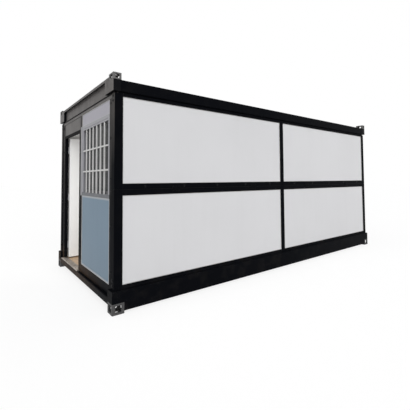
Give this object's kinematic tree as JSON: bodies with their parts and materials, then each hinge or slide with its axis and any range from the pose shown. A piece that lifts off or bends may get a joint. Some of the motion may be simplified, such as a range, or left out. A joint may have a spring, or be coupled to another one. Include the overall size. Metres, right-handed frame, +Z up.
{
  "type": "folding container house",
  "caption": "Flat-roofed folding container house in black steel frames and white panels, with a hinged side door, a barred sliding window and corner castings.",
  "frame": {"origin": "on the ground under the middle of the house", "axes": "+X along the length from the door end to the plain end, +Y across to the left side wall, +Z up"},
  "size_m": [5.8, 2.48, 2.634],
  "materials": {
    "frame_black": "satin",
    "casting_grey": "matte",
    "end_grey": "satin",
    "panel_white": "satin",
    "panel_blue_grey": "satin",
    "lining_white": "satin",
    "door_white": "satin",
    "roof_grey": "satin",
    "floor_wood": "matte",
    "window_grey": "satin",
    "clear_glass": "gloss",
    "sill_metal": "satin",
    "handle_steel": "satin",
    "hinge_steel": "satin"
  },
  "bodies": {
    "house": {"base_beam_front": "frame_black", "base_beam_left": "frame_black", "base_beam_rear": "frame_black", "base_beam_right": "frame_black", "base_corner_blocks": "casting_grey", "base_joists": "frame_black", "ceiling_panel": "lining_white", "door_frame": "frame_black", "door_frame_hinges": "hinge_steel", "door_header_panel": "end_grey", "door_sill": "sill_metal", "floor_board": "floor_wood", "front_foot_rail": "frame_black", "front_head_rail": "end_grey", "front_lower_panel": "panel_blue_grey", "front_transom_panel": "panel_white", "front_wall_posts": "frame_black", "left_fold_hinges": "frame_black", "left_lining": "lining_white", "left_lower_panels": "panel_white", "left_lower_posts": "frame_black", "left_lower_rails": "frame_black", "left_upper_panels": "panel_white", "left_upper_posts": "frame_black", "left_upper_rails": "frame_black", "rear_wall_panels": "panel_white", "rear_wall_posts": "frame_black", "rear_wall_rails": "frame_black", "right_fold_hinges": "frame_black", "right_lining": "lining_white", "right_lower_panels": "panel_white", "right_lower_posts": "frame_black", "right_lower_rails": "frame_black", "right_upper_panels": "panel_white", "right_upper_posts": "frame_black", "right_upper_rails": "frame_black", "roof_beam_front": "end_grey", "roof_beam_left": "frame_black", "roof_beam_rear": "end_grey", "roof_beam_right": "frame_black", "roof_corner_blocks": "casting_grey", "roof_sheet": "roof_grey", "window_frame": "window_grey", "window_glass": "clear_glass", "window_sashes": "window_grey"},
    "door": {"door_leaf": "door_white", "door_leaf_hinges": "hinge_steel", "door_handles": "handle_steel"}
  },
  "joints": [
    {"name": "door_hinge", "type": "hinge", "parent": "house", "child": "door", "pos_m": [-2.805, 1.0065, 0.5], "axis": [0, 0, -1], "range_deg": [0, 90]}
  ]
}
